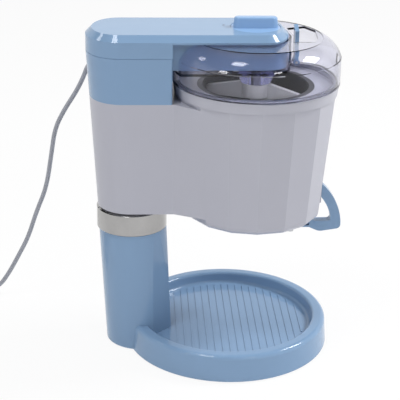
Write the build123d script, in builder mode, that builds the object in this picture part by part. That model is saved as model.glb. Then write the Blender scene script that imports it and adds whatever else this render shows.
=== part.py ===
from build123d import *
from collections import namedtuple
from math import cos, pi, radians, sin, tan
import os

os.makedirs("parts", exist_ok=True)

# Soft-serve ice cream maker for the table top. Millimetres, +Z up, +X from the column to the lever.
# The origin is the centre of the round drip tray, on the table.

# Clearances
run_gap = 0.06          # radial, shaft or pin that turns in a hole
slip_gap = 0.4          # between pieces that lift apart
slide_gap = 0.15        # each side of the outlet gate
screw_gap = 0.1         # radial, screw in its hole
seat_gap = 0.3          # between a turning piece and the face beside it

# Screws, one size throughout
screw_radius = 1.9
screw_head_radius = 3.6
screw_head_height = 2.2
recess_width = 1.0
recess_length = 4.4
recess_depth = 1.2

# Drip tray and feet
tray_radius = 110.0
tray_draft = 2.2
tray_height = 29.6
rim_width = 13.3
rim_lean = 2.5
rim_outer_round = 5.0
rim_inner_round = 3.0
floor_round = 4.0
tray_floor = 17.5
stand_wall = 2.6
ridge_pitch = 8.0
ridge_width = 1.4
ridge_height = 0.8
ridge_margin = 6.0
foot_height = 1.5
foot_circle = 84.0
foot_angle = 42.0
foot_pad_radius = 9.0
foot_plug_radius = 4.0
foot_plug_length = 5.0

# Column, round behind and flattened towards the tray
column_x = -94.0
column_radius = 38.5
column_front_flat = 32.4
column_side_flat = 34.8
column_flat_angle = 45.0
column_seam = 29.0
column_top = 134.0
column_top_x = -103.4
column_top_radius = 36.0
column_wall = 3.0
column_plate = 4.0
column_access_radius = 19.0
column_screw_circle = 26.0
column_screw_count = 3
column_screw_turn = 60.0

# Chrome ring and the neck inside it
neck_x = -104.3
neck_radius = 31.0
neck_wall = 4.0
neck_length = 42.0
neck_screw_inset = 7.0
neck_screw_count = 3
ring_height = 25.5
ring_radius = 37.3
ring_bevel_rise = 5.0
ring_bevel_in = 3.0
ring_foot_bevel = 0.75

# Rear block of the housing and head: half ellipse behind, straight sides, front corners
Station = namedtuple("Station", "z centre reach half front corner")
housing_foot = Station(column_top + ring_height, -104.5, 35.8, 36.5, -63.0, 2.0)
head_seat = Station(279.7, -113.0, 34.3, 40.0, -63.0, 2.0)
head_seam = Station(327.3, -116.0, 34.4, 42.0, -63.0, 2.0)
housing_wall = 2.8
socket_wall = 3.0
socket_roof = 4.0
lip_depth = 7.0
lip_wall = 2.0
least_corner = 1.0

# Barrel of the housing, sixteen flat sides under a round collar
barrel_x = 24.0
barrel_sides = 16
barrel_bottom = 149.0
barrel_bottom_radius = 73.3
barrel_bottom_round = 8.0
barrel_round_steps = 3
collar_bottom = 283.4
collar_top = 295.0
collar_radius = 86.0
collar_flare = 1.6
collar_step = 0.2
collar_round = 1.0
collar_wall = 2.5
ledge_height = 285.0
ledge_width = 3.6
bridge_rear = -75.0
bridge_bend = -60.5
bridge_corner = 45.0
bridge_sunk = 20.0

# Freezing bowl
bowl_flange = 5.0
bowl_top_radius = 73.0
bowl_bottom_radius = 52.0
bowl_bottom = 166.0
bowl_wall = 2.5
liner_top_radius = 55.0
liner_bottom_radius = 46.0
liner_floor = 176.0
liner_wall = 1.5
liner_lip = 4.0
gel_gap = 0.2
bowl_pin_radius = 4.0
bowl_pin_height = 7.0

# Outlet under the barrel, its gate and nozzle
outlet_x = 50.0
outlet_radius = 7.0
spout_wall = 2.0
spout_drop = 3.0
seal_width = 1.6
outlet_rear = 32.0
outlet_front = 70.0
outlet_half = 19.5
outlet_bottom = 133.6
outlet_screw_inset = 5.5
outlet_screw_side = 4.0
gate_low = 136.4
gate_thickness = 4.0
gate_half = 12.0
nozzle_boss_radius = 10.0
nozzle_boss_length = 2.6
nozzle_wall = 2.5
nozzle_plate = 2.5
nozzle_points = 6
nozzle_star_outer = 6.0
nozzle_star_inner = 3.4

# Dispensing lever
lever_pivot_x = barrel_x + barrel_bottom_radius - 6.8
lever_reach = 34.6
lever_back = 7.5
lever_swing = 24.0
lever_knuckle = 6.2
lever_half = 5.0
lever_pin_radius = 2.5
lever_top = (9.0, 6.0)              # the grip's outline, measured from the pivot
lever_outer_bow = (21.9, -10.4)
lever_outer_low = (29.7, -36.5)
lever_heel = (29.8, -43.8)
lever_toe = (6.5, -47.4)
lever_peg_low = (-10.5, -39.6)
lever_peg_high = (-5.0, -29.2)
lever_inner_root = (1.0, -35.3)
lever_inner_corner = (18.9, -35.1)
lever_inner_low = (17.9, -28.0)
lever_inner_bow = (13.9, -17.6)
lever_throat = (7.3, -7.6)
lever_heel_round = 5.0
lever_toe_round = 12.0
lever_corner_round = 3.0
lever_root_round = 7.0
peg_radius = 2.2
peg_gap = 0.5
peg_end = 6.0
fork_wall = 4.0
fork_rear = 6.5
fork_front = 7.0
fork_half = 6.0
fork_slot_half = 4.0
pocket_gap = 0.9
pocket_wall = 2.4
pocket_drop = 10.5
pocket_rise = 14.0

# Motor head
arm_half = 30.0
arm_nose_centre = 30.5
arm_nose_reach = 25.0
arm_bottom = 312.4
pan_rear = -76.0
slab_gap = 1.0           # between the cover's overhang and the lid
head_top = 350.3
head_chamfer = 6.3
head_wall = 2.6
head_roof = 3.5
head_floor = 3.0
seam_bevel = 0.5
dish_radius = 25.5
dish_depth = 1.5
head_boss_radius = 3.6
arm_boss_x = 1.0
arm_boss_y = 23.0
arm_boss_top = 334.0
rear_boss_x = -74.0
rear_boss_y = 31.0

# Switch knob
knob_x = 22.0
knob_disc = 0.9
knob_grip_length = 46.0
knob_grip_width = 13.0
knob_height = 11.4
knob_taper = 6.0
knob_round = 2.0
knob_stem_radius = 4.0
switch_length = 26.0
switch_width = 20.0
switch_height = 12.0
switch_socket = 6.0

# Gear train from the motor to the spindle
gear_module = 2.0
gear_backlash = 0.7
gear_addendum = 0.9     # in modules
gear_dedendum = 1.2
gear_width = 8.0
gear_low = 319.6
pinion_teeth = 16
idler_teeth = 22
output_teeth = 24
pressure_angle = 20.0
axle_radius = 4.0
axle_head_radius = 6.0
axle_head_height = 1.5
motor_radius = 30.0
motor_height = 29.0
motor_boss_radius = 9.0
motor_ear = 36.0
motor_ear_width = 12.0
motor_ear_height = 3.0
motor_shaft_radius = 3.0
motor_shaft_sunk = 12.0
motor_screw_y = 30.8

# Spindle
spindle_radius = 5.0
spindle_flats = 8.0
spindle_head = 7.0
spindle_end = 283.0
spindle_round_end = 296.0
hex_gap = 0.2
bush_radius = 9.0
bush_flange = 11.0
bush_flange_height = 1.6
bush_drop = 0.5
clip_radius = 8.0
clip_height = 1.2

# Clear lid over the barrel
lid_overhang = 0.6
lid_draft = 0.1
lid_shoulder = 322.0
lid_top_radius = 67.5
lid_top = 341.0
lid_bulge_out = 2.25
lid_bulge_up = 2.0
lid_wall = 2.2
lid_lip_depth = 4.0
lid_lip_wall = 1.8
channel_gap = 1.2
channel_floor = 309.4
lid_hub_top_radius = 22.0
lid_hub_radius = 16.0
lid_hub_bottom = 293.0
lid_hub_bore = 6.5
fill_hole = [
    (33.5, 29.5),       # corners measured from the barrel's axis
    (52.5, 37.5),
    (62.0, 20.0),
    (60.5, -12.0),
    (56.5, -26.0),
    (34.5, -26.0),
    (37.0, 0.0),
]

# Latch blade in the front of the lid
latch_pivot_x = 64.0
latch_pivot_z = 316.0
latch_half = 7.0
latch_thick = 4.0
latch_top = 351.0
latch_slope = 4.0
latch_pin_radius = 1.5
latch_knuckle = 3.2
ear_wall = 2.5
ear_gap = 0.4

# Paddle
paddle_azimuth = -24.0
paddle_gap = 1.4
paddle_half = 3.2
paddle_bar = 8.0
paddle_hub_radius = 14.0
paddle_hub_top = 292.0
paddle_hub_bottom = 278.0
paddle_arm_end = 283.0
paddle_low = 177.2
paddle_foot_radius = 9.0
paddle_foot_top = 192.0
paddle_shaft_half = 4.5
paddle_rung_z = 232.0
paddle_yoke = 4.0

# Mains cord, its gland, coil, tie and plug
cord_radius = 2.5
cord_sides = 8
cord_bend_share = 0.45
gland_point = (-133.0, 36.0, 318.5)
gland_direction = (-0.45, 0.60, -0.66)
gland_length = 24.0
gland_radius = 6.2
gland_tip_radius = 4.2
gland_run = 15.0
gland_straight = 6.0
coil_x = -322.0
coil_y = 63.0
coil_low = 3.7
coil_layer = 5.7
coil_radius = 37.0
coil_step = 3.0
coil_half_turns = 6
climb_radius = 20.0
coil_tail = 26.0
coil_sample = 2.0
cord_route = [
    (-155.8, 63.8, 277.5),
    (-164.0, 67.0, 260.5),
    (-177.5, 70.3, 239.0),
    (-188.5, 73.0, 216.5),
    (-193.5, 77.2, 185.0),
    (-200.5, 81.6, 143.5),
    (-213.0, 84.7, 113.0),
    (-223.5, 88.4, 80.0),
    (-236.0, 92.0, 55.0),
    (-247.5, 95.5, 32.5),
    (-260.0, 98.4, 13.0),
    (-277.0, 99.7, 4.4),
    (-298.0, coil_y + coil_radius, coil_low),
]
tie_wall = 0.8
tie_width = 8.0
tie_gap = 0.35
plug_length = 38.0
plug_nose = 21.0
plug_corner = 7.6
plug_half_width = 13.0
plug_half_height = 8.6
plug_rear_half = 5.0
plug_rear_corner = 3.0
plug_pin_radius = 2.0
plug_pin_length = 19.0
plug_pin_pitch = 18.6

# Sizes that follow from the ones above
collar_foot_radius = collar_radius - collar_flare
barrel_top_radius = collar_foot_radius - collar_step
lid_radius = collar_radius + lid_overhang
lid_shoulder_radius = lid_radius - lid_draft

# Directions and helpers
rising = (Align.CENTER, Align.CENTER, Align.MIN)
hanging = (Align.CENTER, Align.CENTER, Align.MAX)
barrel_axis = Axis((barrel_x, 0, 0), (0, 0, 1))


def level(z):
    """Horizontal plane at a height."""
    return Plane.XY.offset(z)


def upright(x):
    """Vertical plane through the middle of the object: local X forward from x, local Y up."""
    return Plane(origin=(x, 0, 0), x_dir=(1, 0, 0), z_dir=(0, -1, 0))


def corner(sketch, x, y):
    """The corner of a sketch nearest a point."""
    return sketch.vertices().sort_by_distance((x, y, 0))[0]


def between(low, high, z):
    """The rear block's outline at a height, in line with two stations."""
    share = (z - low.z) / (high.z - low.z)
    return Station(*[a + (b - a) * share for a, b in zip(low, high)])


def block_face(station, inset=0.0):
    """Section of the rear block, drawn in by inset all round."""
    half = station.half - inset
    front = station.front - inset
    bend = max(station.corner - inset, least_corner)
    with BuildSketch(level(station.z)) as face:
        with BuildLine():
            EllipticalCenterArc((station.centre, 0), station.reach - inset, half, 90, arc_size=180)
            Line((station.centre, -half), (front - bend, -half))
            CenterArc((front - bend, -half + bend), bend, -90, 90)
            Line((front, -half + bend), (front, half - bend))
            CenterArc((front - bend, half - bend), bend, 0, 90)
            Line((front - bend, half), (station.centre, half))
        make_face()
    return face.sketch


def arm_face(z, half, grow=0.0, rear=None):
    """Plan of the head or its arm: half ellipses at both ends, or open straight back to rear."""
    side = half + grow
    start = head_seam.centre if rear is None else rear
    with BuildSketch(level(z)) as face:
        with BuildLine():
            if rear is None:
                EllipticalCenterArc((start, 0), head_seam.reach + grow, side, 90, arc_size=180)
            else:
                Line((start, side), (start, -side))
            Line((start, -side), (arm_nose_centre, -side))
            EllipticalCenterArc((arm_nose_centre, 0), arm_nose_reach + grow, side, -90, arc_size=180)
            Line((arm_nose_centre, side), (start, side))
        make_face()
    return face.sketch


def column_flats(inset=0.0):
    """Planes that flatten the column's front; they run out into the round at its top."""
    for angle, flat in ((0, column_front_flat), (-column_flat_angle, column_side_flat),
                        (column_flat_angle, column_side_flat)):
        out = Vector(cos(radians(angle)), sin(radians(angle)), 0)
        low = Vector(column_x, 0, 0) + out * (flat - inset)
        high = Vector(column_top_x, 0, column_top) + out * (column_top_radius - inset)
        along = Vector(-out.Y, out.X, 0)
        yield Plane(origin=low, x_dir=along, z_dir=along.cross(high - low))


def column_solid(low, high, inset=0.0):
    """Length of the column between two heights, drawn in by inset: a leaning cone with flats in front."""
    lean = Vector(column_top_x - column_x, 0, column_top)
    over = column_radius / lean.length
    narrows = column_top_radius - column_radius
    with BuildPart() as length:
        with Locations(Plane(origin=Vector(column_x, 0, 0) - lean * over, z_dir=lean).location):
            Cone(column_radius - narrows * over - inset, column_top_radius + narrows * over - inset,
                 lean.length * (1 + 2 * over), align=rising)
        split(bisect_by=level(low), keep=Keep.TOP)
        split(bisect_by=level(high), keep=Keep.BOTTOM)
        for flat in column_flats(inset):
            split(bisect_by=flat, keep=Keep.BOTTOM)
    return length.part


def barrel_face(z, radius):
    """Sixteen-sided section of the barrel."""
    with BuildSketch(level(z)) as face:
        with Locations((barrel_x, 0)):
            RegularPolygon(radius, barrel_sides)
    return face.sketch


def bridge_face(station, radius):
    """Section of the web that carries on the rear block's sides and slants out to the barrel's corners."""
    reach = radius * cos(radians(bridge_corner))
    side = [(bridge_rear, station.half), (bridge_bend, station.half), (barrel_x - reach, reach),
            (barrel_x - reach + bridge_sunk, reach - bridge_sunk)]
    with BuildSketch(level(station.z)) as face:
        with BuildLine():
            Polyline(*side, *[(x, -y) for x, y in reversed(side)], close=True)
        make_face()
    return face.sketch


def gear_face(teeth, x, z, turned):
    """Spur gear outline with straight flanks and play between the teeth."""
    pitch = gear_module * teeth / 2
    tip = pitch + gear_addendum * gear_module
    root = pitch - gear_dedendum * gear_module
    half = (pi * gear_module / 2 - gear_backlash) / 2
    slope = tan(radians(pressure_angle))
    points = []
    for tooth in range(teeth):
        middle = 2 * pi * (tooth + turned) / teeth
        for radius, side in ((root, -1), (tip, -1), (tip, 1), (root, 1)):
            width = half - (radius - pitch) * slope
            angle = middle + side * width / radius
            points.append((x + radius * cos(angle), radius * sin(angle)))
    with BuildSketch(level(z)) as face:
        with BuildLine():
            Polyline(*points, close=True)
        make_face()
    return face.sketch


def add_screws(points, seat, length):
    """Screws driven upwards: heads with a cross recess below the seat, shanks above it."""
    with Locations(*[(x, y, seat) for x, y in points]):
        Cylinder(screw_head_radius, screw_head_height, align=hanging)
        Cylinder(screw_radius, length, align=rising)
    with Locations(*[(x, y, seat - screw_head_height) for x, y in points]):
        Box(recess_length, recess_width, recess_depth, align=rising, mode=Mode.SUBTRACT)
        Box(recess_width, recess_length, recess_depth, align=rising, mode=Mode.SUBTRACT)


def cut_holes(points, low, high, radius):
    """Round holes between two heights."""
    with Locations(*[(x, y, low) for x, y in points]):
        Cylinder(radius, high - low, align=rising, mode=Mode.SUBTRACT)


def ring_points(x, radius, count, turned=0.0):
    """Points on a circle about (x, 0)."""
    angles = [radians(turned + 360 * n / count) for n in range(count)]
    return [(x + radius * cos(a), radius * sin(a)) for a in angles]


def finish(builder, name):
    """Label a piece and write it."""
    builder.part.label = name
    export_step(builder.part, f"parts/{name}.step")


# Drip tray with the foot that carries the column
foot_points = [(sx * foot_circle * cos(radians(foot_angle)), sy * foot_circle * sin(radians(foot_angle)))
               for sx in (1, -1) for sy in (1, -1)]
column_screws = ring_points(column_x, column_screw_circle, column_screw_count, column_screw_turn)
rim_radius = tray_radius - tray_draft
rim_inner = rim_radius - rim_width
floor_radius = rim_inner - rim_lean
foot_roof = column_seam - stand_wall

with BuildPart() as base_tray:
    with BuildSketch(Plane.XZ) as tray_profile:
        with BuildLine():
            Polyline(
                (0, tray_floor),
                (floor_radius, tray_floor),
                (rim_inner, tray_height),
                (rim_radius, tray_height),
                (tray_radius, foot_height),
                (tray_radius - stand_wall, foot_height),
                (rim_radius - stand_wall, tray_height - stand_wall),
                (rim_inner + stand_wall, tray_height - stand_wall),
                (floor_radius + stand_wall, tray_floor - stand_wall),
                (0, tray_floor - stand_wall),
                close=True,
            )
        make_face()
        fillet(corner(tray_profile, floor_radius, tray_floor), floor_round)
        fillet(corner(tray_profile, rim_inner, tray_height), rim_inner_round)
        fillet(corner(tray_profile, rim_radius, tray_height), rim_outer_round)
    revolve(axis=Axis.Z)
    ridge_reach = floor_radius - ridge_margin
    for place in range(-int(ridge_reach / ridge_pitch), int(ridge_reach / ridge_pitch) + 1):
        x = place * ridge_pitch
        half = (ridge_reach ** 2 - x ** 2) ** 0.5
        with Locations((x, 0, tray_floor)):
            Box(ridge_width, 2 * half + ridge_width, ridge_height, align=rising)
    add(column_solid(foot_height, column_seam))
    add(column_solid(foot_height, foot_roof, stand_wall), mode=Mode.SUBTRACT)
    add(column_solid(column_seam, tray_height, -screw_gap), mode=Mode.SUBTRACT)
    with Locations(*[(x, y, foot_height) for x, y in foot_points]):
        Cylinder(foot_pad_radius, tray_floor - stand_wall - foot_height, align=rising)
        Cylinder(foot_plug_radius + screw_gap, foot_plug_length, align=rising, mode=Mode.SUBTRACT)
    cut_holes([(column_x, 0)], foot_roof, column_seam, column_access_radius)
    cut_holes(column_screws, foot_roof, column_seam, screw_radius + screw_gap)
finish(base_tray, "base_tray")

with BuildPart() as rubber_feet:
    with Locations(*[(x, y, 0) for x, y in foot_points]):
        Cylinder(foot_pad_radius, foot_height, align=rising)
        Cylinder(foot_plug_radius, foot_height + foot_plug_length - seat_gap, align=rising)
finish(rubber_feet, "rubber_feet")

with BuildPart() as foot_screws:
    add_screws(column_screws, foot_roof, stand_wall + column_plate - seat_gap)
finish(foot_screws, "foot_screws")

# Column and the neck on top of it
neck_top = column_top + neck_length
neck_bore = neck_radius - neck_wall
neck_screws_at = ring_points(neck_x, neck_bore - neck_screw_inset, neck_screw_count)

with BuildPart() as stand_column:
    add(column_solid(column_seam, column_top))
    add(column_solid(column_seam + column_plate, column_top - column_plate, column_wall), mode=Mode.SUBTRACT)
    with Locations((neck_x, 0, column_top)):
        Cylinder(neck_radius, neck_length, align=rising)
    with Locations((neck_x, 0, column_top - column_plate)):
        Cylinder(neck_bore, neck_length, align=rising, mode=Mode.SUBTRACT)
    cut_holes([(column_x, 0)], column_seam, column_seam + column_plate, column_access_radius)
    cut_holes(column_screws, column_seam, column_seam + column_plate, screw_radius + screw_gap)
    cut_holes(neck_screws_at, neck_top - column_plate, neck_top, screw_radius + screw_gap)
finish(stand_column, "stand_column")

with BuildPart() as chrome_ring:
    with BuildSketch(upright(neck_x)) as ring_profile:
        with BuildLine():
            Polyline(
                (neck_radius + screw_gap, column_top),
                (ring_radius, column_top),
                (ring_radius, housing_foot.z),
                (neck_radius + screw_gap, housing_foot.z),
                close=True,
            )
        make_face()
        chamfer(corner(ring_profile, ring_radius, housing_foot.z), ring_bevel_in, ring_bevel_rise)
        chamfer(corner(ring_profile, ring_radius, column_top), ring_foot_bevel)
    revolve(axis=Axis((neck_x, 0, 0), (0, 0, 1)))
finish(chrome_ring, "chrome_ring")

with BuildPart() as neck_screws:
    add_screws(neck_screws_at, neck_top - column_plate, column_plate + socket_roof - seat_gap)
finish(neck_screws, "neck_screws")

# Housing: rear block, bridge and barrel in one moulding
barrel_flat = cos(pi / barrel_sides)
barrel_wall_low = barrel_bottom_radius * barrel_flat - housing_wall
barrel_floor = barrel_bottom + housing_wall
barrel_rise = collar_bottom - barrel_bottom - barrel_bottom_round
barrel_slope = (barrel_top_radius - barrel_bottom_radius) / barrel_rise
collar_bore = collar_foot_radius - collar_wall
ledge_radius = collar_bore - ledge_width
spout_radius = outlet_radius + spout_wall
seal_bore = spout_radius + seat_gap
outlet_hole = seal_bore + seal_width + screw_gap
lever_pivot_z = gate_low + gate_thickness / 2 + lever_reach
pocket_low = lever_pivot_z - pocket_drop
pocket_high = lever_pivot_z + pocket_rise
pocket_half = lever_half + pocket_gap
pocket_rear = lever_pivot_x - lever_knuckle - pocket_gap
outlet_screws_at = [(x, y) for x in (outlet_rear + outlet_screw_inset, outlet_front - outlet_screw_inset)
                    for y in (-outlet_half + outlet_screw_side, outlet_half - outlet_screw_side)]

with BuildPart() as main_housing:
    loft(sections=[block_face(housing_foot), block_face(head_seat)], ruled=True)
    loft(sections=[bridge_face(end, barrel_top_radius - barrel_slope * (collar_bottom - end.z))
                   for end in (housing_foot, head_seat)], ruled=True)
    rounds = []
    for step in range(barrel_round_steps + 1):
        turn = pi / 2 * step / barrel_round_steps
        rounds.append(barrel_face(barrel_bottom + barrel_bottom_round * (1 - cos(turn)),
                                  barrel_bottom_radius - barrel_bottom_round * (1 - sin(turn))))
    loft(sections=rounds + [barrel_face(collar_bottom, barrel_top_radius)], ruled=True)
    with Locations((barrel_x, 0, collar_bottom)):
        Cone(collar_foot_radius, collar_radius, collar_top - collar_bottom, align=rising)
    fillet(main_housing.edges().filter_by(GeomType.CIRCLE).group_by(Axis.Z)[-1], collar_round)
    with BuildSketch(upright(barrel_x)):
        with BuildLine():
            Polyline(
                (0, barrel_floor),
                (barrel_wall_low - barrel_bottom_round, barrel_floor),
                (barrel_wall_low, barrel_bottom + barrel_bottom_round),
                (ledge_radius, collar_bottom),
                (ledge_radius, ledge_height),
                (collar_bore, ledge_height),
                (collar_bore, collar_top),
                (0, collar_top),
                close=True,
            )
        make_face()
    revolve(axis=barrel_axis, mode=Mode.SUBTRACT)
    cavity_low = between(housing_foot, head_seat, housing_foot.z + housing_wall)
    loft(sections=[block_face(cavity_low, housing_wall), block_face(head_seat, housing_wall)],
         ruled=True, mode=Mode.SUBTRACT)
    with Locations((neck_x, 0, housing_foot.z)):
        Cylinder(neck_radius + socket_wall, neck_top - housing_foot.z + socket_roof, align=rising)
        Cylinder(neck_radius + screw_gap, neck_top - housing_foot.z, align=rising, mode=Mode.SUBTRACT)
    cut_holes(neck_screws_at, neck_top, neck_top + socket_roof, screw_radius + screw_gap)
    pocket_mid = (pocket_low + pocket_high) / 2
    with BuildSketch(Plane.XZ):
        with Locations(((pocket_rear - pocket_wall + barrel_x + barrel_bottom_radius) / 2, pocket_mid)):
            Rectangle(barrel_x + barrel_bottom_radius - pocket_rear + pocket_wall,
                      pocket_high - pocket_low + 2 * pocket_wall)
    extrude(amount=pocket_half + pocket_wall, both=True)
    with Locations((pocket_rear, 0, pocket_mid)):
        Box(barrel_top_radius, 2 * pocket_half, pocket_high - pocket_low,
            align=(Align.MIN, Align.CENTER, Align.CENTER), mode=Mode.SUBTRACT)
    with Locations(Location((lever_pivot_x, 0, lever_pivot_z), (90, 0, 0))):
        Cylinder(lever_pin_radius + run_gap, 2 * (pocket_half + pocket_wall), mode=Mode.SUBTRACT)
    cut_holes([(outlet_x, 0)], barrel_bottom, barrel_floor, outlet_hole)
    cut_holes(outlet_screws_at, barrel_bottom, barrel_floor, screw_radius + screw_gap)
finish(main_housing, "main_housing")

# Outlet block, nozzle and seal
gate_high = gate_low + gate_thickness
spout_end = barrel_bottom - spout_drop
gate_room = gate_half + slide_gap

with BuildPart() as outlet_body:
    with BuildSketch(level(outlet_bottom)):
        with Locations(((outlet_rear + outlet_front) / 2, 0)):
            RectangleRounded(outlet_front - outlet_rear, 2 * outlet_half, outlet_screw_inset)
    extrude(amount=barrel_bottom - outlet_bottom)
    with Locations((outlet_x, 0, outlet_bottom)):
        Cylinder(nozzle_boss_radius, nozzle_boss_length, align=hanging)
    cut_holes([(outlet_x, 0)], outlet_bottom - nozzle_boss_length, barrel_bottom, outlet_radius)
    cut_holes([(outlet_x, 0)], spout_end - seat_gap, barrel_bottom, spout_radius + seat_gap)
    with Locations(((outlet_rear + outlet_front) / 2, 0, (gate_low + gate_high) / 2)):
        Box(outlet_front - outlet_rear, 2 * gate_room, gate_thickness + 2 * slide_gap, mode=Mode.SUBTRACT)
    cut_holes(outlet_screws_at, outlet_bottom, barrel_bottom, screw_radius + screw_gap)
finish(outlet_body, "outlet_body")

with BuildPart() as outlet_screws:
    add_screws(outlet_screws_at, outlet_bottom, barrel_floor - outlet_bottom - seat_gap)
finish(outlet_screws, "outlet_screws")

with BuildPart() as outlet_nozzle:
    nozzle_low = outlet_bottom - nozzle_boss_length - nozzle_plate
    with Locations((outlet_x, 0, nozzle_low)):
        Cylinder(nozzle_boss_radius + nozzle_wall, nozzle_boss_length + nozzle_plate, align=rising)
    cut_holes([(outlet_x, 0)], nozzle_low + nozzle_plate, outlet_bottom, nozzle_boss_radius + screw_gap)
    with BuildSketch(level(nozzle_low)):
        star = []
        for n in range(2 * nozzle_points):
            reach = nozzle_star_outer if n % 2 == 0 else nozzle_star_inner
            angle = pi * n / nozzle_points
            star.append((outlet_x + reach * cos(angle), reach * sin(angle)))
        with BuildLine():
            Polyline(*star, close=True)
        make_face()
    extrude(amount=nozzle_plate, mode=Mode.SUBTRACT)
finish(outlet_nozzle, "outlet_nozzle")

with BuildPart() as outlet_seal:
    with Locations((outlet_x, 0, barrel_bottom)):
        Cylinder(seal_bore + seal_width, housing_wall, align=rising)
        Cylinder(seal_bore, housing_wall, align=rising, mode=Mode.SUBTRACT)
finish(outlet_seal, "outlet_seal")

# Lever, its pin and the gate that it draws out
peg_x = lever_pivot_x - lever_back
peg_z = gate_low + gate_thickness / 2
lever_travel = lever_back * (1 - cos(radians(lever_swing))) + lever_reach * sin(radians(lever_swing))
fork_low = peg_z - fork_half
fork_high = peg_z + fork_half


def on_lever(point):
    """Point of the grip's outline in the side view."""
    return (lever_pivot_x + point[0], lever_pivot_z + point[1])


with BuildPart() as dispense_lever:
    with BuildSketch(Plane.XZ) as lever_profile:
        with BuildLine():
            Polyline(on_lever(lever_top), (lever_pivot_x, lever_pivot_z + lever_knuckle),
                     (lever_pivot_x, lever_pivot_z - lever_knuckle), on_lever(lever_throat))
            ThreePointArc(on_lever(lever_throat), on_lever(lever_inner_bow), on_lever(lever_inner_low))
            Polyline(*[on_lever(point) for point in (lever_inner_low, lever_inner_corner, lever_inner_root,
                                                     lever_peg_high, lever_peg_low, lever_toe, lever_heel,
                                                     lever_outer_low)])
            ThreePointArc(on_lever(lever_outer_low), on_lever(lever_outer_bow), on_lever(lever_top))
        make_face()
        with Locations((lever_pivot_x, lever_pivot_z)):
            Circle(lever_knuckle)
        with Locations((peg_x, peg_z)):
            Circle(peg_end)
        fillet(corner(lever_profile, *on_lever(lever_heel)), lever_heel_round)
        fillet(corner(lever_profile, *on_lever(lever_toe)), lever_toe_round)
        fillet(corner(lever_profile, *on_lever(lever_inner_corner)), lever_corner_round)
        fillet(corner(lever_profile, *on_lever(lever_inner_root)), lever_root_round)
    extrude(amount=lever_half, both=True)
    with Locations(Location((peg_x, 0, peg_z), (90, 0, 0))):
        Cylinder(peg_radius, 2 * (lever_half + slip_gap + fork_wall))
    with Locations(Location((lever_pivot_x, 0, lever_pivot_z), (90, 0, 0))):
        Cylinder(lever_pin_radius + run_gap, 2 * pocket_half, mode=Mode.SUBTRACT)
finish(dispense_lever, "dispense_lever")

with BuildPart() as lever_pin:
    with Locations(Location((lever_pivot_x, 0, lever_pivot_z), (90, 0, 0))):
        Cylinder(lever_pin_radius, 2 * (pocket_half + pocket_wall))
finish(lever_pin, "lever_pin")

with BuildPart() as outlet_gate:
    gate_rear = outlet_x - lever_travel - outlet_radius - spout_wall
    fork_inner = lever_half + slip_gap
    with BuildSketch(level(gate_low)):
        with Locations(((gate_rear + peg_x - fork_rear) / 2, 0)):
            Rectangle(peg_x - fork_rear - gate_rear, 2 * gate_half)
    extrude(amount=gate_thickness)
    with BuildSketch(level(fork_low)):
        with Locations((peg_x + (fork_front - fork_rear) / 2, fork_inner + fork_wall / 2),
                       (peg_x + (fork_front - fork_rear) / 2, -fork_inner - fork_wall / 2)):
            Rectangle(fork_front + fork_rear, fork_wall)
    extrude(amount=fork_high - fork_low)
    with Locations((peg_x, 0, (fork_low + fork_high) / 2)):
        Box(2 * (peg_radius + peg_gap), 2 * (fork_inner + fork_wall), 2 * fork_slot_half, mode=Mode.SUBTRACT)
    cut_holes([(outlet_x - lever_travel, 0)], gate_low, gate_high, outlet_radius)
finish(outlet_gate, "outlet_gate")

# Freezing bowl: outer shell with flange and spout, gel and metal liner
bowl_top = ledge_height + bowl_flange
liner_rim = liner_top_radius + liner_wall


def bowl_radius(z):
    """Outside radius of the bowl's shell at a height."""
    share = (z - bowl_bottom) / (ledge_height - bowl_bottom)
    return bowl_bottom_radius + (bowl_top_radius - bowl_bottom_radius) * share


def liner_radius(z):
    """Inside radius of the liner at a height."""
    share = (z - liner_floor) / (bowl_top - liner_floor)
    return liner_bottom_radius + (liner_top_radius - liner_bottom_radius) * share


shell_floor = bowl_bottom + bowl_wall
gel_top = ledge_height - gel_gap

with BuildPart() as bowl_shell:
    with BuildSketch(upright(barrel_x)):
        with BuildLine():
            Polyline(
                (0, bowl_bottom),
                (bowl_bottom_radius, bowl_bottom),
                (bowl_top_radius, ledge_height),
                (collar_bore - slip_gap, ledge_height),
                (collar_bore - slip_gap, bowl_top),
                (liner_rim + liner_lip + gel_gap, bowl_top),
                (liner_rim + liner_lip + gel_gap, bowl_top - liner_wall),
                (liner_rim + gel_gap, bowl_top - liner_wall),
                (liner_rim + gel_gap, ledge_height),
                (bowl_top_radius - bowl_wall, ledge_height),
                (bowl_radius(shell_floor) - bowl_wall, shell_floor),
                (0, shell_floor),
                close=True,
            )
        make_face()
    revolve(axis=barrel_axis)
    spout_top = liner_floor - liner_wall
    with Locations((outlet_x, 0, spout_end)):
        Cylinder(spout_radius, spout_top - spout_end, align=rising)
        Cylinder(outlet_radius, spout_top - spout_end, align=rising, mode=Mode.SUBTRACT)
finish(bowl_shell, "bowl_shell")

with BuildPart() as bowl_liner:
    with BuildSketch(upright(barrel_x)):
        with BuildLine():
            Polyline(
                (0, liner_floor - liner_wall),
                (liner_bottom_radius + liner_wall, liner_floor - liner_wall),
                (liner_rim, bowl_top - liner_wall),
                (liner_rim + liner_lip, bowl_top - liner_wall),
                (liner_rim + liner_lip, bowl_top),
                (liner_top_radius, bowl_top),
                (liner_bottom_radius, liner_floor),
                (bowl_pin_radius, liner_floor),
                (bowl_pin_radius, liner_floor + bowl_pin_height),
                (0, liner_floor + bowl_pin_height),
                close=True,
            )
        make_face()
    revolve(axis=barrel_axis)
    cut_holes([(outlet_x, 0)], liner_floor - liner_wall, liner_floor, outlet_radius)
finish(bowl_liner, "bowl_liner")

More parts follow.
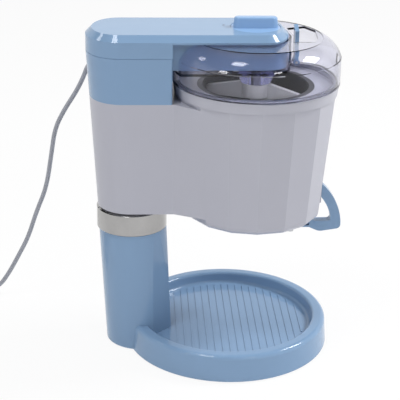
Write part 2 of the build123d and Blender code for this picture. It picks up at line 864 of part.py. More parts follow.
with BuildPart() as coolant_gel:
    with BuildSketch(upright(barrel_x)):
        with BuildLine():
            Polyline(
                (0, shell_floor),
                (bowl_radius(shell_floor) - bowl_wall - gel_gap, shell_floor),
                (bowl_radius(gel_top) - bowl_wall - gel_gap, gel_top),
                (liner_radius(gel_top) + liner_wall + gel_gap, gel_top),
                (liner_bottom_radius + liner_wall + gel_gap, liner_floor - liner_wall - gel_gap),
                (0, liner_floor - liner_wall - gel_gap),
                close=True,
            )
        make_face()
    revolve(axis=barrel_axis)
    cut_holes([(outlet_x, 0)], shell_floor, liner_floor, spout_radius + gel_gap)
finish(coolant_gel, "coolant_gel")

# Paddle: open frame that scrapes the liner, driven by the spindle from above
paddle_plane = Plane(
    origin=(barrel_x, 0, 0),
    x_dir=(cos(radians(paddle_azimuth)), sin(radians(paddle_azimuth)), 0),
    z_dir=(sin(radians(paddle_azimuth)), -cos(radians(paddle_azimuth)), 0),
)
blade_top = liner_radius(paddle_arm_end) - paddle_gap
blade_low = liner_radius(paddle_low) - paddle_gap
socket_low = spindle_end - slip_gap

with BuildPart() as paddle:
    with BuildSketch(paddle_plane):
        with BuildLine():
            Polyline(
                (-blade_top, paddle_arm_end),
                (-paddle_hub_radius, paddle_hub_top),
                (paddle_hub_radius, paddle_hub_top),
                (blade_top, paddle_arm_end),
                (blade_low, paddle_low),
                (-blade_low, paddle_low),
                close=True,
            )
        make_face()
        lean = (blade_top - blade_low) / (paddle_arm_end - paddle_low)
        for low, high in ((paddle_low + paddle_bar, paddle_rung_z - paddle_bar / 2),
                          (paddle_rung_z + paddle_bar / 2, paddle_hub_bottom - paddle_yoke)):
            for side in (1, -1):
                outer_low = blade_low + lean * (low - paddle_low) - paddle_bar
                outer_high = blade_low + lean * (high - paddle_low) - paddle_bar
                with BuildLine():
                    Polyline(
                        (side * paddle_shaft_half, low),
                        (side * outer_low, low),
                        (side * outer_high, high),
                        (side * paddle_shaft_half, high),
                        close=True,
                    )
                make_face(mode=Mode.SUBTRACT)
    extrude(amount=paddle_half, both=True)
    with Locations((barrel_x, 0, paddle_hub_bottom)):
        Cylinder(paddle_hub_radius, paddle_hub_top - paddle_hub_bottom, align=rising)
    with Locations((barrel_x, 0, paddle_low)):
        Cylinder(paddle_foot_radius, paddle_foot_top - paddle_low, align=rising)
        Cylinder(bowl_pin_radius + run_gap, liner_floor + bowl_pin_height + seat_gap - paddle_low,
                 align=rising, mode=Mode.SUBTRACT)
    with BuildSketch(level(socket_low)):
        with Locations((barrel_x, 0)):
            RegularPolygon(spindle_flats / 2 + hex_gap, 6, major_radius=False)
    extrude(amount=paddle_hub_top - socket_low, mode=Mode.SUBTRACT)
finish(paddle, "paddle")

# Head: lower shell with the arm's pan, and the cover
pan_floor = arm_bottom + head_wall
motor_x = barrel_x - gear_module * (output_teeth + idler_teeth) / 2 - gear_module * idler_teeth \
    - gear_module * (idler_teeth + pinion_teeth) / 2
idler_x = [motor_x + gear_module * (pinion_teeth + idler_teeth) / 2,
           barrel_x - gear_module * (output_teeth + idler_teeth) / 2]
gear_high = gear_low + gear_width
block_floor = head_seat.z + head_floor
head_screws_at = [(arm_boss_x, arm_boss_y), (arm_boss_x, -arm_boss_y)]
rear_screws_at = [(rear_boss_x, rear_boss_y), (rear_boss_x, -rear_boss_y)]
motor_screws_at = [(motor_x, motor_screw_y), (motor_x, -motor_screw_y)]
gland_axis = Vector(*gland_direction).normalized()
gland_plane = Plane(origin=gland_point, z_dir=gland_axis)
roof = head_top - head_roof
thread_end = head_top - head_chamfer
slab_low = lid_top + slab_gap
arm_rear = head_seam.front - head_wall

with BuildPart() as head_lower:
    loft(sections=[block_face(head_seat), block_face(head_seam)], ruled=True)
    extrude(arm_face(arm_bottom, arm_half, rear=arm_rear), amount=slab_low - arm_bottom)
    block_inside = between(head_seat, head_seam, block_floor)
    loft(sections=[block_face(block_inside, head_wall), block_face(head_seam, head_wall)],
         ruled=True, mode=Mode.SUBTRACT)
    extrude(arm_face(pan_floor, arm_half, -head_wall, pan_rear), amount=slab_low - pan_floor,
            mode=Mode.SUBTRACT)
    extrude(arm_face(arm_bottom, arm_half, rear=pan_rear), amount=head_wall)
    lip_low = between(housing_foot, head_seat, head_seat.z - lip_depth)
    lip_inset = housing_wall + slip_gap
    extrude(block_face(lip_low, lip_inset), amount=lip_depth)
    extrude(block_face(lip_low, lip_inset + lip_wall), amount=lip_depth, mode=Mode.SUBTRACT)
    with Locations(*[(x, y, arm_bottom) for x, y in head_screws_at]):
        Cylinder(head_boss_radius, arm_boss_top - arm_bottom, align=rising)
    with Locations(*[(x, y, head_seat.z) for x, y in rear_screws_at]):
        Cylinder(head_boss_radius, head_seam.z - head_seat.z, align=rising)
    cut_holes(head_screws_at, arm_bottom, arm_boss_top, screw_radius + screw_gap)
    cut_holes(rear_screws_at, head_seat.z, head_seam.z, screw_radius + screw_gap)
    cut_holes(motor_screws_at, head_seat.z, block_floor, screw_radius + screw_gap)
    with Locations(*[(x, 0, pan_floor) for x in idler_x]):
        Cylinder(axle_head_radius, gear_low - seat_gap - pan_floor, align=rising)
        Cylinder(axle_radius + screw_gap, gear_low - pan_floor, align=rising, mode=Mode.SUBTRACT)
    cut_holes([(barrel_x, 0)], arm_bottom, pan_floor, bush_radius + screw_gap)
    with Locations(gland_plane.location):
        Cylinder(gland_radius + screw_gap, 2 * gland_straight, mode=Mode.SUBTRACT)
finish(head_lower, "head_lower")


def cover_solid(grow, top, bevel):
    """Solid of the head cover: a slab bevelled all round its top, with a skirt on the rear block."""
    with BuildPart() as solid:
        extrude(arm_face(head_seam.z, head_seam.half, grow), amount=top - head_seam.z)
        chamfer(solid.faces().sort_by(Axis.Z)[-1].edges(), bevel)
        with Locations((head_seam.front + grow, 0, head_seam.z)):
            Box(2 * lid_radius, 2 * lid_radius, slab_low - head_seam.z,
                align=(Align.MIN, Align.CENTER, Align.MIN), mode=Mode.SUBTRACT)
    return solid.part


def arm_wall(low, high):
    """Wall round the arm between two heights, open to the rear."""
    with BuildPart() as wall:
        extrude(arm_face(low, arm_half, rear=arm_rear), amount=high - low)
        extrude(arm_face(low, arm_half, -head_wall, pan_rear), amount=high - low, mode=Mode.SUBTRACT)
    return wall.part


def cover_hollow():
    """Space inside the cover, less the rib that stands on the arm's wall."""
    with BuildPart() as space:
        add(cover_solid(-head_wall, roof, head_chamfer - head_roof + head_wall))
        add(arm_wall(slab_low, roof), mode=Mode.SUBTRACT)
    return space.part


with BuildPart() as head_cover:
    add(cover_solid(0, head_top, head_chamfer))
    chamfer(head_cover.faces().sort_by(Axis.Z)[0].edges(), seam_bevel)
    add(cover_hollow(), mode=Mode.SUBTRACT)
    with Locations((head_seam.front, 0, head_seam.z)):
        Box(4 * head_wall, 2 * (arm_half + seat_gap), slab_low - head_seam.z,
            align=(Align.CENTER, Align.CENTER, Align.MIN), mode=Mode.SUBTRACT)
    with Locations((knob_x, 0, head_top)):
        Cylinder(dish_radius, dish_depth, align=hanging, mode=Mode.SUBTRACT)
    cut_holes([(knob_x, 0)], roof, head_top, knob_stem_radius + run_gap)
    with Locations(*[(x, y, arm_boss_top) for x, y in head_screws_at]):
        Cylinder(head_boss_radius, roof - arm_boss_top, align=rising)
    with Locations(*[(x, y, head_seam.z) for x, y in rear_screws_at]):
        Cylinder(head_boss_radius, roof - head_seam.z, align=rising)
    cut_holes(head_screws_at, arm_boss_top, thread_end, screw_radius + screw_gap)
    cut_holes(rear_screws_at, head_seam.z, thread_end, screw_radius + screw_gap)
finish(head_cover, "head_cover")

with BuildPart() as head_screws:
    add_screws(head_screws_at, arm_bottom, thread_end - seat_gap - arm_bottom)
    add_screws(rear_screws_at, head_seat.z, thread_end - seat_gap - head_seat.z)
finish(head_screws, "head_screws")

# Motor
motor_top = block_floor + motor_height

with BuildPart() as drive_motor:
    with Locations((motor_x, 0, block_floor)):
        Cylinder(motor_radius, motor_height, align=rising)
        Box(motor_ear_width, 2 * motor_ear, motor_ear_height, align=rising)
    with Locations((motor_x, 0, motor_top)):
        Cylinder(motor_boss_radius, gear_low - seat_gap - motor_top, align=rising)
    cut_holes([(motor_x, 0)], motor_top - motor_shaft_sunk, gear_low, motor_shaft_radius + run_gap)
    cut_holes(motor_screws_at, block_floor, block_floor + motor_ear_height, screw_radius + screw_gap)
finish(drive_motor, "drive_motor")

with BuildPart() as motor_screws:
    add_screws(motor_screws_at, head_seat.z, head_floor + motor_ear_height)
finish(motor_screws, "motor_screws")

with BuildPart() as motor_pinion:
    extrude(gear_face(pinion_teeth, motor_x, gear_low, 0), amount=gear_width)
    with Locations((motor_x, 0, gear_high)):
        Cylinder(motor_shaft_radius, gear_high - motor_top + motor_shaft_sunk - seat_gap, align=hanging)
finish(motor_pinion, "motor_pinion")

# Idler gears on their axles
for number, (x, turned) in enumerate(zip(idler_x, (0.5, 0.0)), start=1):
    with BuildPart() as idler_gear:
        extrude(gear_face(idler_teeth, x, gear_low, turned), amount=gear_width)
        cut_holes([(x, 0)], gear_low, gear_high, axle_radius + run_gap)
    finish(idler_gear, f"idler_gear_{number}")

with BuildPart() as idler_axles:
    with Locations(*[(x, 0, pan_floor) for x in idler_x]):
        Cylinder(axle_radius, gear_high + seat_gap - pan_floor, align=rising)
    with Locations(*[(x, 0, gear_high + seat_gap) for x in idler_x]):
        Cylinder(axle_head_radius, axle_head_height, align=rising)
finish(idler_axles, "idler_axles")

# Output gear, spindle, bush and clip
with BuildPart() as output_gear:
    extrude(gear_face(output_teeth, barrel_x, gear_low, 0.5), amount=gear_width)
    cut_holes([(barrel_x, 0)], gear_low, gear_high, spindle_radius + run_gap)
finish(output_gear, "output_gear")

with BuildPart() as spindle_bush:
    with Locations((barrel_x, 0, arm_bottom - bush_drop)):
        Cylinder(bush_radius, head_wall + bush_drop, align=rising)
    with Locations((barrel_x, 0, pan_floor)):
        Cylinder(bush_flange, bush_flange_height, align=rising)
    bush_top = pan_floor + bush_flange_height
    cut_holes([(barrel_x, 0)], arm_bottom - bush_drop, bush_top, spindle_radius + run_gap)
finish(spindle_bush, "spindle_bush")

with BuildPart() as spindle_shaft:
    with Locations((barrel_x, 0, spindle_round_end)):
        Cylinder(spindle_radius, gear_high + axle_head_height - spindle_round_end, align=rising)
    with Locations((barrel_x, 0, gear_high)):
        Cylinder(spindle_head, axle_head_height, align=rising)
    with BuildSketch(level(spindle_end)):
        with Locations((barrel_x, 0)):
            RegularPolygon(spindle_flats / 2, 6, major_radius=False)
    extrude(amount=spindle_round_end - spindle_end)
finish(spindle_shaft, "spindle_shaft")

with BuildPart() as spindle_clip:
    with Locations((barrel_x, 0, arm_bottom - bush_drop - seat_gap)):
        Cylinder(clip_radius, clip_height, align=hanging)
    clip_low = arm_bottom - bush_drop - seat_gap - clip_height
    cut_holes([(barrel_x, 0)], clip_low, arm_bottom, spindle_radius + run_gap)
    with Locations((barrel_x, 0, clip_low)):
        Box(2 * clip_radius, spindle_radius, 2 * clip_height, align=(Align.MIN, Align.CENTER, Align.CENTER),
            mode=Mode.SUBTRACT)
finish(spindle_clip, "spindle_clip")

# Switch under the cover and the knob that turns it
dish_floor = head_top - dish_depth

with BuildPart() as switch_body:
    with Locations((knob_x, 0, roof)):
        Box(switch_length, switch_width, switch_height, align=hanging)
    cut_holes([(knob_x, 0)], roof - switch_socket, roof, knob_stem_radius + run_gap)
finish(switch_body, "switch_body")

with BuildPart() as switch_knob:
    knob_low = dish_floor + seat_gap
    with Locations((knob_x, 0, knob_low)):
        Cylinder(dish_radius - slip_gap, knob_disc, align=rising)
    with BuildSketch(level(knob_low)):
        with Locations((knob_x, 0)):
            SlotOverall(knob_grip_length, knob_grip_width)
    extrude(amount=knob_height, taper=knob_taper)
    fillet(switch_knob.faces().sort_by(Axis.Z)[-1].edges(), knob_round)
    with Locations((knob_x, 0, knob_low)):
        Cylinder(knob_stem_radius, knob_low - roof + switch_socket - seat_gap, align=hanging)
finish(switch_knob, "switch_knob")

# Clear lid: round cap with a channel for the arm, a hub for the spindle and a fill hole
channel_rear = barrel_x - 2 * lid_radius
lid_hub_roof = channel_floor - lid_wall
ear_inner = latch_half + ear_gap
ear_rear = arm_nose_centre + arm_nose_reach + channel_gap


def lid_cap(inset):
    """Solid of the lid with its channel, drawn in by inset."""
    with BuildPart() as cap:
        with BuildSketch(upright(barrel_x)):
            with BuildLine():
                top = lid_top - inset
                edge = lid_top_radius - inset / 2
                bend = lid_shoulder_radius - inset
                Polyline((edge, top), (0, top), (0, collar_top), (lid_radius - inset, collar_top),
                         (bend, lid_shoulder))
                ThreePointArc((bend, lid_shoulder),
                              ((bend + edge) / 2 + lid_bulge_out, (lid_shoulder + top) / 2 + lid_bulge_up),
                              (edge, top))
            make_face()
        revolve(axis=barrel_axis)
        floor = channel_floor - inset
        channel = arm_face(floor, arm_half, channel_gap + inset, channel_rear)
        extrude(channel, amount=lid_top - floor, mode=Mode.SUBTRACT)
    return cap.part


with BuildPart() as lid:
    add(lid_cap(0))
    add(lid_cap(lid_wall), mode=Mode.SUBTRACT)
    with BuildSketch(upright(barrel_x)):
        with BuildLine():
            lip = collar_bore - slip_gap
            Polyline(
                (lip - lid_lip_wall, collar_top - lid_lip_depth),
                (lip, collar_top - lid_lip_depth),
                (lip, collar_top),
                (lid_radius - lid_wall, collar_top),
                (lid_radius - lid_wall, collar_top + lid_wall),
                (lip - lid_lip_wall, collar_top + lid_wall),
                close=True,
            )
        make_face()
    revolve(axis=barrel_axis)
    with BuildSketch(upright(barrel_x)):
        with BuildLine():
            Polyline((0, lid_hub_roof), (lid_hub_top_radius, lid_hub_roof), (lid_hub_radius, lid_hub_bottom),
                     (0, lid_hub_bottom), close=True)
        make_face()
    revolve(axis=barrel_axis)
    cut_holes([(barrel_x, 0)], lid_hub_bottom, channel_floor, lid_hub_bore)
    with BuildSketch(level(lid_top - lid_wall)):
        with BuildLine():
            Polyline(*[(barrel_x + x, y) for x, y in fill_hole], close=True)
        make_face()
    extrude(amount=lid_wall, mode=Mode.SUBTRACT)
    with BuildSketch(Plane.XZ):
        with BuildLine():
            ear_low = latch_pivot_z - latch_knuckle
            ear_high = latch_pivot_z + latch_knuckle
            Line((ear_rear, ear_low), (latch_pivot_x, ear_low))
            CenterArc((latch_pivot_x, latch_pivot_z), latch_knuckle, -90, 180)
            Polyline((latch_pivot_x, ear_high), (ear_rear, ear_high), (ear_rear, ear_low))
        make_face()
    extrude(amount=ear_inner + ear_wall, both=True)
    with Locations((ear_rear + lid_wall, 0, latch_pivot_z)):
        Box(2 * lid_radius, 2 * ear_inner, 2 * (latch_knuckle + ear_wall),
            align=(Align.MIN, Align.CENTER, Align.CENTER), mode=Mode.SUBTRACT)
    with Locations(Location((latch_pivot_x, 0, latch_pivot_z), (90, 0, 0))):
        Cylinder(latch_pin_radius + screw_gap, 2 * (ear_inner + ear_wall), mode=Mode.SUBTRACT)
finish(lid, "lid")

with BuildPart() as latch_pin:
    with Locations(Location((latch_pivot_x, 0, latch_pivot_z), (90, 0, 0))):
        Cylinder(latch_pin_radius, 2 * (ear_inner + ear_wall))
finish(latch_pin, "latch_pin")

with BuildPart() as lid_latch:
    with BuildSketch(Plane.YZ.offset(latch_pivot_x - latch_thick / 2)):
        with BuildLine():
            Polyline((-latch_half, latch_pivot_z), (latch_half, latch_pivot_z), (latch_half, latch_top),
                     (-latch_half, latch_top - latch_slope), close=True)
        make_face()
    extrude(amount=latch_thick)
    with Locations(Location((latch_pivot_x, 0, latch_pivot_z), (90, 0, 0))):
        Cylinder(latch_knuckle, 2 * latch_half)
        Cylinder(latch_pin_radius + run_gap, 2 * latch_half, mode=Mode.SUBTRACT)
finish(lid_latch, "lid_latch")

# Mains cord: gland, free stretch, put-away coil, tie and plug
gland_tip = Vector(*gland_point) + gland_axis * gland_length

with BuildPart() as strain_relief:
    with BuildSketch(gland_plane.offset(-gland_straight)):
        Circle(gland_radius)
    extrude(amount=2 * gland_straight)
    with BuildSketch(gland_plane.offset(gland_straight)):
        Circle(gland_radius)
    with BuildSketch(gland_plane.offset(gland_length)):
        Circle(gland_tip_radius)
    loft()
finish(strain_relief, "strain_relief")

coil_start = Vector(coil_x, coil_y + coil_radius, coil_low)
route = [gland_tip, gland_tip + gland_axis * gland_run]
route += [Vector(*point) for point in cord_route]
route.append(coil_start)
radii = []
for before, here, after in zip(route, route[1:], route[2:]):
    turn = (here - before).get_angle(after - here)
    shorter = min((here - before).length, (after - here).length)
    radii.append(cord_bend_share * shorter / tan(radians(turn / 2)))
print("cord radii", [round(radius) for radius in radii])

with BuildPart() as power_cord:
    with BuildLine() as cord_path:
        FilletPolyline(*route, radius=radii)
    with BuildSketch(Plane(origin=cord_path.line @ 0, z_dir=cord_path.line % 0)):
        RegularPolygon(cord_radius, cord_sides)
    sweep(path=cord_path.line)
finish(power_cord, "power_cord")
print("free cord length", round(cord_path.wire().length))

# The coil winds inwards on the floor, climbs in its tightest half turn and winds outwards on top
with BuildPart() as cord_coil:
    with BuildLine() as coil_path:
        edge = coil_start
        for n in range(coil_half_turns):
            radius = coil_radius - n * coil_step
            side = 1 if n % 2 == 0 else -1
            centre = edge - Vector(0, side * radius, 0)
            CenterArc(centre, radius, 90 * side, 180)
            edge = centre - Vector(0, side * radius, 0)
        climb = Vector(0, -2 * climb_radius, coil_layer)
        top_edge = edge + climb
        reach = Vector(-climb.length / 2, 0, 0)
        half_way = (edge + top_edge) / 2 + reach
        TangentArc(edge, half_way, tangent=(-1, 0, 0))
        TangentArc(half_way, top_edge, tangent=climb)
        edge = top_edge
        for n in range(coil_half_turns - 1):
            radius = coil_radius - (coil_half_turns - 1 - n) * coil_step
            side = -1 if n % 2 == 0 else 1
            centre = edge - Vector(0, side * radius, 0)
            CenterArc(centre, radius, 90 * side, 180)
            edge = centre - Vector(0, side * radius, 0)
        centre = edge - Vector(0, coil_radius, 0)
        CenterArc(centre, coil_radius, 90, 90)
        edge = centre - Vector(coil_radius, 0, 0)
        tail = Line(edge, edge - Vector(0, coil_tail, 0))
    with BuildSketch(Plane(origin=coil_path.line @ 0, z_dir=coil_path.line % 0)):
        RegularPolygon(cord_radius, cord_sides)
    sweep(path=coil_path.line)
finish(cord_coil, "cord_coil")
plug_start = tail @ 1
coil_wire = coil_path.wire()
print("coil length", round(coil_wire.length))
sample_count = int(coil_wire.length / coil_sample)
samples = [coil_wire.position_at(n / sample_count) for n in range(sample_count + 1)]
apart = int(pi * climb_radius / coil_sample)
least = min((here - there).length for n, here in enumerate(samples) for there in samples[n + apart:])
print("least gap of the coil to itself", round(least - 2 * cord_radius, 2))

with BuildPart() as cord_tie:
    tie_inner = coil_radius - (coil_half_turns - 1) * coil_step - coil_step - cord_radius - tie_gap
    tie_outer = coil_radius + coil_step + cord_radius + tie_gap
    tie_low = coil_low - cord_radius - tie_gap
    tie_high = coil_low + coil_layer + cord_radius + tie_gap
    with BuildSketch(Plane.XZ.offset(-coil_y)):
        with Locations((coil_x + (tie_inner + tie_outer) / 2, (tie_low + tie_high) / 2)):
            Rectangle(tie_outer - tie_inner + 2 * tie_wall, tie_high - tie_low + 2 * tie_wall)
            Rectangle(tie_outer - tie_inner, tie_high - tie_low, mode=Mode.SUBTRACT)
    extrude(amount=tie_width / 2, both=True)
finish(cord_tie, "cord_tie")

with BuildPart() as plug_body:
    plug_plane = Plane(origin=plug_start, x_dir=(1, 0, 0), z_dir=(0, -1, 0))
    with BuildSketch(plug_plane):
        RectangleRounded(2 * plug_rear_half, 2 * plug_rear_half, plug_rear_corner)
    with BuildSketch(plug_plane.offset(plug_length - plug_nose)) as plug_shoulder:
        RectangleRounded(2 * plug_half_width, 2 * plug_half_height, plug_corner)
    loft(ruled=True)
    extrude(plug_shoulder.sketch, amount=plug_nose)
finish(plug_body, "plug_body")

with BuildPart() as plug_pins:
    with BuildSketch(plug_plane.offset(plug_length)):
        with GridLocations(plug_pin_pitch, 1, 2, 1):
            Circle(plug_pin_radius)
    extrude(amount=plug_pin_length)
finish(plug_pins, "plug_pins")
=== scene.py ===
import math

import bmesh
import bpy
from mathutils import Matrix, Vector


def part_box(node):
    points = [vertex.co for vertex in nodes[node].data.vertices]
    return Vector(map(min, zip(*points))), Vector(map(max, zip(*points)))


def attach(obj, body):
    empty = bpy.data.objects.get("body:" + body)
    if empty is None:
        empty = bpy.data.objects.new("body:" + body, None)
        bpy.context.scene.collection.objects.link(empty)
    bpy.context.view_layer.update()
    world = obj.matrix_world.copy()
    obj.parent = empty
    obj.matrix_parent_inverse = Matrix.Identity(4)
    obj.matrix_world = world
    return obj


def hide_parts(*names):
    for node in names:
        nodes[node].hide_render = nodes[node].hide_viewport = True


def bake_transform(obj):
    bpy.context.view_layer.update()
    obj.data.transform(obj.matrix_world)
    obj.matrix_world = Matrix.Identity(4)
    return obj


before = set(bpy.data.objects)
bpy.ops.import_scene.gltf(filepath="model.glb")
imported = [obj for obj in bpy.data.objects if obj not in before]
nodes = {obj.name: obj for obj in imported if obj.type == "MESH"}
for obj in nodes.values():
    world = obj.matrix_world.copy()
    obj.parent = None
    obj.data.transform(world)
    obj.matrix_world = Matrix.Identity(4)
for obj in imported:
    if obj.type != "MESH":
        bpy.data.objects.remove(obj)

# Looks of the soft-serve ice cream maker, in the CAD model's frame.
# Places and sizes are in metres. MM turns the cord's and the index mark's millimetres into metres.

MM = 0.001
scene = bpy.context.scene
scene.view_settings.view_transform = "Standard"
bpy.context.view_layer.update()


# Camera at the photograph's angle

CAMERA_AT = (-0.10022, -1.23187, 0.66396)
CAMERA_LENS = 112.26
CAMERA_SENSOR = 36.0
CAMERA_REACH = 50
CAMERA_DOWN = math.radians(22.197)
CAMERA_RIGHT = math.radians(3.190)
CAMERA_ROLL = math.radians(0.925)


def add_camera():
    lens = bpy.data.cameras.new("camera")
    lens.sensor_width = CAMERA_SENSOR
    lens.lens = CAMERA_LENS
    lens.clip_end = CAMERA_REACH
    ahead = Vector((math.sin(CAMERA_RIGHT) * math.cos(CAMERA_DOWN),
                    math.cos(CAMERA_RIGHT) * math.cos(CAMERA_DOWN),
                    -math.sin(CAMERA_DOWN)))
    right = Vector((math.cos(CAMERA_RIGHT), -math.sin(CAMERA_RIGHT), 0))
    up = right.cross(ahead)
    right, up = (right * math.cos(CAMERA_ROLL) + up * math.sin(CAMERA_ROLL),
                 up * math.cos(CAMERA_ROLL) - right * math.sin(CAMERA_ROLL))
    camera = bpy.data.objects.new("camera", lens)
    turn = Matrix((right, up, -ahead)).transposed().to_4x4()
    camera.matrix_world = Matrix.Translation(CAMERA_AT) @ turn
    scene.collection.objects.link(camera)
    scene.camera = camera


add_camera()


# Node trees

def add_node(tree, kind, inputs=None, **settings):
    """New node with its settings. An input that is given a socket is linked to it, any other is set."""
    node = tree.nodes.new(kind)
    for key, value in settings.items():
        setattr(node, key, value)
    for socket, source in (inputs or {}).items():
        if isinstance(source, bpy.types.NodeSocket):
            tree.links.new(source, node.inputs[socket])
        else:
            node.inputs[socket].default_value = source
    return node


def new_material(name):
    """A material, its node tree and its Principled shader."""
    material = bpy.data.materials.new(name)
    material.use_nodes = True
    tree = material.node_tree
    return material, tree, tree.nodes["Principled BSDF"]


def coordinates(tree, stretch=(1, 1, 1)):
    """Object coordinates, stretched along the axes."""
    where = add_node(tree, "ShaderNodeTexCoord").outputs["Object"]
    return add_node(tree, "ShaderNodeMapping", {"Vector": where, "Scale": stretch}).outputs["Vector"]


def noise(tree, where, scale, detail, roughness=0.5):
    """Factor of a noise over the surface."""
    inputs = {"Vector": where, "Scale": scale, "Detail": detail, "Roughness": roughness}
    return add_node(tree, "ShaderNodeTexNoise", inputs).outputs["Fac"]


# Opaque surfaces

WEAR_PER_BLOTCH = 6
WEAR_LOW = 0.3
WEAR_HIGH = 0.7
LEAST_ROUGHNESS = 0.02
GRAIN_STRENGTH = 0.25
GRAIN_DEPTH = 0.00001
COAT_ROUGHNESS = 0.06


def shade(colour, factor):
    return tuple(min(1.0, c * factor) for c in colour) + (1.0,)


def moulded(name, colour, rough, specular=0.5, spread=0.02, blotch=14.0, grain=2600.0, coat=0.0,
            rough_spread=0.02, stretch=(1, 1, 1), metal=0.0):
    """Moulded or cast surface: slow colour drift, roughness drift and a fine grain in the normal."""
    material, tree, shader = new_material(name)
    where = coordinates(tree, stretch)
    drift = noise(tree, where, blotch, detail=4.0, roughness=0.6)
    tone = add_node(tree, "ShaderNodeMix", {"Factor": drift}, data_type="RGBA")
    tone.inputs["A"].default_value = shade(colour, 1 - spread)
    tone.inputs["B"].default_value = shade(colour, 1 + spread)
    tree.links.new(tone.outputs["Result"], shader.inputs["Base Color"])
    wear = noise(tree, where, blotch * WEAR_PER_BLOTCH, detail=5.0)
    polish = add_node(tree, "ShaderNodeMapRange", {
        "Value": wear, "From Min": WEAR_LOW, "From Max": WEAR_HIGH,
        "To Min": max(LEAST_ROUGHNESS, rough - rough_spread), "To Max": rough + rough_spread})
    tree.links.new(polish.outputs["Result"], shader.inputs["Roughness"])
    fine = noise(tree, where, grain, detail=3.0)
    relief = add_node(tree, "ShaderNodeBump", {
        "Height": fine, "Strength": GRAIN_STRENGTH, "Distance": GRAIN_DEPTH})
    tree.links.new(relief.outputs["Normal"], shader.inputs["Normal"])
    shader.inputs["Specular IOR Level"].default_value = specular
    shader.inputs["Coat Weight"].default_value = coat
    shader.inputs["Coat Roughness"].default_value = COAT_ROUGHNESS
    shader.inputs["Metallic"].default_value = metal
    return material


SKY_BLUE = (0.228, 0.360, 0.545)
# The knob's blue is the body's blue made lighter and bluer: painted light, standing in for light that the
# knob's sides miss.
KNOB_LIT_BLUE = (0.270, 0.450, 0.720)
MARK_BLUE = (0.11, 0.15, 0.22)
HOUSING_GREY = (0.465, 0.470, 0.535)
CORD_GREY = (0.36, 0.375, 0.42)
OUTLET_WHITE = (0.66, 0.66, 0.65)
# The paddle's pale grey is its white plastic darkened: painted shade, standing in for the shade inside the
# bowl.
PADDLE_SHADED_WHITE = (0.50, 0.50, 0.51)
RUBBER_BLACK = (0.02, 0.02, 0.022)
DARK_PLASTIC = (0.025, 0.025, 0.03)
SILICONE_WHITE = (0.72, 0.72, 0.69)
GEL_BLUE = (0.20, 0.42, 0.66)
NYLON_CREAM = (0.78, 0.75, 0.62)
STEEL_GREY = (0.55, 0.56, 0.58)
# The liner's near-black is painted shade: the aluminium is darkened to stand for the shade inside the bowl.
BOWL_PAINTED_SHADE = (0.022, 0.024, 0.033)
ZINC_GREY = (0.42, 0.43, 0.45)
BUSH_BRASS = (0.60, 0.42, 0.14)
PIN_BRASS = (0.62, 0.56, 0.42)
CHROME_GREY = (0.39, 0.386, 0.382)

blue = moulded("sky_blue_plastic", SKY_BLUE, rough=0.32, specular=0.05, coat=0.7)
# Knob material: a lighter copy of the body blue, which is painted light.
knob_lit_blue = moulded("knob_blue_plastic", KNOB_LIT_BLUE, rough=0.34, specular=0.2, coat=0.5)
grey = moulded("pale_grey_plastic", HOUSING_GREY, rough=0.34, coat=0.15)
mark_blue = moulded("mark_blue_plastic", MARK_BLUE, rough=0.4)
white = moulded("white_plastic", OUTLET_WHITE, rough=0.42)
# Paddle material: white plastic darkened, which is painted shade.
paddle_shaded_white = moulded("paddle_plastic", PADDLE_SHADED_WHITE, rough=0.45)
rubber = moulded("dark_rubber", RUBBER_BLACK, rough=0.75, spread=0.25, grain=900.0)
steel = moulded("screw_steel", STEEL_GREY, rough=0.32, metal=1.0, stretch=(1, 1, 8))
silicone = moulded("pale_silicone", SILICONE_WHITE, rough=0.55)
# Bowl liner: aluminium with a near-black colour, which is painted shade.
aluminium = moulded("bowl_aluminium", BOWL_PAINTED_SHADE, rough=0.40, metal=0.2, spread=0.12,
                    stretch=(0.15, 0.15, 14))
gel = moulded("coolant", GEL_BLUE, rough=0.5)
zinc = moulded("motor_metal", ZINC_GREY, rough=0.36, metal=1.0)
nylon = moulded("gear_nylon", NYLON_CREAM, rough=0.45)
bush_brass = moulded("bush_brass", BUSH_BRASS, rough=0.3, metal=1.0)
dark = moulded("dark_plastic", DARK_PLASTIC, rough=0.5, spread=0.2)
vinyl = moulded("cord_grey", CORD_GREY, rough=0.42, grain=700.0)
pin_brass = moulded("pin_brass", PIN_BRASS, rough=0.23, metal=1.0)
chrome = moulded("chrome_trim", CHROME_GREY, rough=0.06, rough_spread=0.05, metal=1.0, spread=0.22,
                 blotch=30.0)


# Clear lid

LID_SURFACE = (0.97, 0.97, 1.0, 1.0)
LID_TINT = (0.60, 0.61, 0.74, 1.0)
LID_DENSITY = 120.0
LID_IOR = 1.36
LID_POLISHED = 0.012
LID_SMEARED = 0.048
SMEAR_SCALE = 40.0
FLOW_SCALE = 60.0
FLOW_STRENGTH = 0.1
FLOW_DEPTH = 0.0001


def clear_plastic(name):
    """Clear tinted plastic: the tint deepens where the eye looks along the wall."""
    material, tree, shader = new_material(name)
    shader.inputs["Base Color"].default_value = LID_SURFACE
    shader.inputs["Transmission Weight"].default_value = 1.0
    shader.inputs["IOR"].default_value = LID_IOR
    where = coordinates(tree)
    smear = noise(tree, where, SMEAR_SCALE, detail=4.0)
    polish = add_node(tree, "ShaderNodeMapRange", {
        "Value": smear, "To Min": LID_POLISHED, "To Max": LID_SMEARED})
    tree.links.new(polish.outputs["Result"], shader.inputs["Roughness"])
    flow = noise(tree, where, FLOW_SCALE, detail=2.0)
    relief = add_node(tree, "ShaderNodeBump", {
        "Height": flow, "Strength": FLOW_STRENGTH, "Distance": FLOW_DEPTH})
    tree.links.new(relief.outputs["Normal"], shader.inputs["Normal"])
    inside = add_node(tree, "ShaderNodeVolumeAbsorption", {"Color": LID_TINT, "Density": LID_DENSITY})
    tree.links.new(inside.outputs["Volume"], tree.nodes["Material Output"].inputs["Volume"])
    return material


lid_clear = clear_plastic("clear_lid")


# Which piece has which surface

